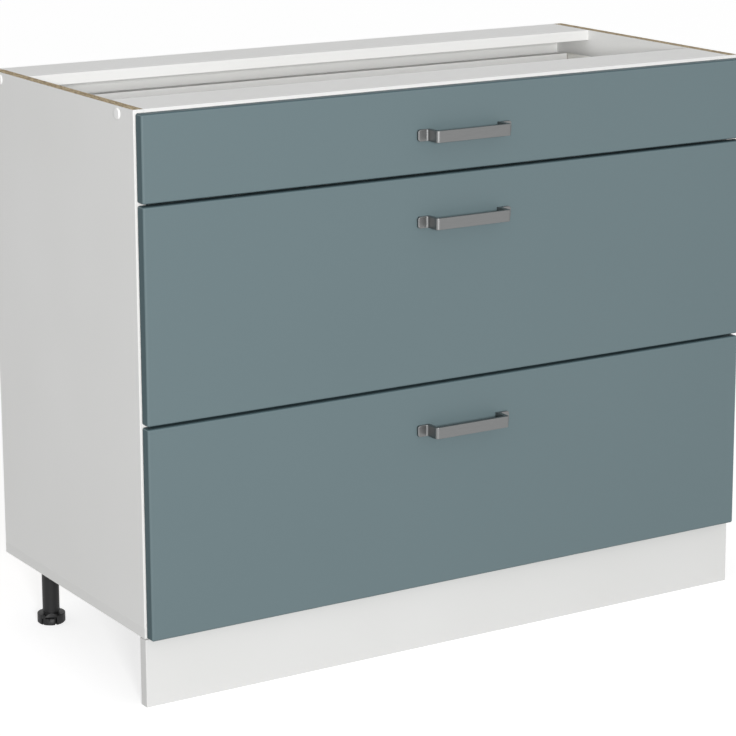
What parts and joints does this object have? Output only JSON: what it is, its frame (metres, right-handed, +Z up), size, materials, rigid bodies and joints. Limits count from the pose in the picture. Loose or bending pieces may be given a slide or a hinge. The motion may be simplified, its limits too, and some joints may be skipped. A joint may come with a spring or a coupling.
{
  "type": "kitchen base cabinet with drawers",
  "caption": "Wide kitchen base cabinet on adjustable legs, with a shallow top drawer, deep drawers below it, blue-grey fronts, bow handles and an open top for a worktop.",
  "frame": {"origin": "on the floor, at the centre of the footprint from the handles to the back edge", "axes": "+X to the right seen from the front, +Y towards the wall, +Z up; the drawers open towards -Y"},
  "size_m": [1.0044, 0.497, 0.817],
  "materials": {
    "carcass_board": "white melamine-faced chipboard, fine satin texture",
    "drawer_board": "white melamine-faced chipboard",
    "hardboard": "white-painted hardboard",
    "front_foil": "matt blue-grey foil on fibreboard",
    "satin_metal": "satin nickel",
    "coated_steel": "white powder coat",
    "zinc_steel": "bright zinc plate",
    "roller_nylon": "white nylon",
    "leg_plastic": "black moulded plastic",
    "cap_plastic": "white moulded plastic",
    "beech": "fluted beech dowel"
  },
  "bodies": {
    "root": {"side_panel_left": "carcass_board", "side_panel_right": "carcass_board", "bottom_panel": "carcass_board", "back_panel": "hardboard", "front_traverse": "carcass_board", "rear_traverse": "carcass_board", "plinth_panel": "carcass_board", "plinth_clips": "leg_plastic", "legs": "leg_plastic", "leg_screws": "zinc_steel", "carcass_screws": "zinc_steel", "dowels": "beech", "cover_caps": "cap_plastic", "rail_screws": "zinc_steel", "cabinet_rail_left_1": "coated_steel", "cabinet_rail_right_1": "coated_steel", "cabinet_rail_left_2": "coated_steel", "cabinet_rail_right_2": "coated_steel", "cabinet_rail_left_3": "coated_steel", "cabinet_rail_right_3": "coated_steel"},
    "drawer_1": {"drawer_front_1": "front_foil", "handle_1": "satin_metal", "handle_screws_1": "zinc_steel", "drawer_side_left_1": "coated_steel", "drawer_side_right_1": "coated_steel", "drawer_bottom_1": "drawer_board", "drawer_back_1": "drawer_board", "front_brackets_1": "zinc_steel", "drawer_screws_1": "zinc_steel"},
    "cabinet_rollers_1": {"cabinet_rollers_1": "roller_nylon"},
    "drawer_rollers_1": {"drawer_rollers_1": "roller_nylon"},
    "drawer_2": {"drawer_front_2": "front_foil", "handle_2": "satin_metal", "handle_screws_2": "zinc_steel", "drawer_side_left_2": "coated_steel", "drawer_side_right_2": "coated_steel", "drawer_bottom_2": "drawer_board", "drawer_back_2": "drawer_board", "front_brackets_2": "zinc_steel", "drawer_screws_2": "zinc_steel", "gallery_rails_2": "coated_steel"},
    "cabinet_rollers_2": {"cabinet_rollers_2": "roller_nylon"},
    "drawer_rollers_2": {"drawer_rollers_2": "roller_nylon"},
    "drawer_3": {"drawer_front_3": "front_foil", "handle_3": "satin_metal", "handle_screws_3": "zinc_steel", "drawer_side_left_3": "coated_steel", "drawer_side_right_3": "coated_steel", "drawer_bottom_3": "drawer_board", "drawer_back_3": "drawer_board", "front_brackets_3": "zinc_steel", "drawer_screws_3": "zinc_steel", "gallery_rails_3": "coated_steel"},
    "cabinet_rollers_3": {"cabinet_rollers_3": "roller_nylon"},
    "drawer_rollers_3": {"drawer_rollers_3": "roller_nylon"},
    "foot_front_left": {"foot_front_left": "leg_plastic"},
    "foot_front_right": {"foot_front_right": "leg_plastic"},
    "foot_rear_left": {"foot_rear_left": "leg_plastic"},
    "foot_rear_right": {"foot_rear_right": "leg_plastic"}
  },
  "joints": [
    {"name": "drawer_1_slide", "type": "slide", "parent": "root", "child": "drawer_1", "axis": [0, -1, 0], "range_m": [0, 0.3]},
    {"name": "drawer_2_slide", "type": "slide", "parent": "root", "child": "drawer_2", "axis": [0, -1, 0], "range_m": [0, 0.3]},
    {"name": "drawer_3_slide", "type": "slide", "parent": "root", "child": "drawer_3", "axis": [0, -1, 0], "range_m": [0, 0.3]},
    {"name": "cabinet_rollers_1_turn", "type": "hinge", "parent": "root", "child": "cabinet_rollers_1", "pos_m": [0, -0.1845, 0.7123], "axis": [1, 0, 0], "range_deg": [0, 1570]},
    {"name": "drawer_rollers_1_turn", "type": "hinge", "parent": "drawer_1", "child": "drawer_rollers_1", "pos_m": [0, 0.1865, 0.7123], "axis": [1, 0, 0], "range_deg": [0, 1570]},
    {"name": "cabinet_rollers_2_turn", "type": "hinge", "parent": "root", "child": "cabinet_rollers_2", "pos_m": [0, -0.1845, 0.4298], "axis": [1, 0, 0], "range_deg": [0, 1570]},
    {"name": "drawer_rollers_2_turn", "type": "hinge", "parent": "drawer_2", "child": "drawer_rollers_2", "pos_m": [0, 0.1865, 0.4298], "axis": [1, 0, 0], "range_deg": [0, 1570]},
    {"name": "cabinet_rollers_3_turn", "type": "hinge", "parent": "root", "child": "cabinet_rollers_3", "pos_m": [0, -0.1845, 0.1313], "axis": [1, 0, 0], "range_deg": [0, 1570]},
    {"name": "drawer_rollers_3_turn", "type": "hinge", "parent": "drawer_3", "child": "drawer_rollers_3", "pos_m": [0, 0.1865, 0.1313], "axis": [1, 0, 0], "range_deg": [0, 1570]},
    {"name": "foot_front_left_turn", "type": "hinge", "parent": "root", "child": "foot_front_left", "pos_m": [-0.46, -0.1565, 0], "axis": [0, 0, 1], "continuous": true},
    {"name": "foot_rear_left_turn", "type": "hinge", "parent": "root", "child": "foot_rear_left", "pos_m": [-0.46, 0.1835, 0], "axis": [0, 0, 1], "continuous": true},
    {"name": "foot_front_right_turn", "type": "hinge", "parent": "root", "child": "foot_front_right", "pos_m": [0.46, -0.1565, 0], "axis": [0, 0, 1], "continuous": true},
    {"name": "foot_rear_right_turn", "type": "hinge", "parent": "root", "child": "foot_rear_right", "pos_m": [0.46, 0.1835, 0], "axis": [0, 0, 1], "continuous": true}
  ],
  "couplings": [
    {"joint": "cabinet_rollers_1_turn", "follows": "drawer_1_slide", "rad_per_m": 90.909},
    {"joint": "drawer_rollers_1_turn", "follows": "drawer_1_slide", "rad_per_m": 90.909},
    {"joint": "cabinet_rollers_2_turn", "follows": "drawer_2_slide", "rad_per_m": 90.909},
    {"joint": "drawer_rollers_2_turn", "follows": "drawer_2_slide", "rad_per_m": 90.909},
    {"joint": "cabinet_rollers_3_turn", "follows": "drawer_3_slide", "rad_per_m": 90.909},
    {"joint": "drawer_rollers_3_turn", "follows": "drawer_3_slide", "rad_per_m": 90.909}
  ]
}
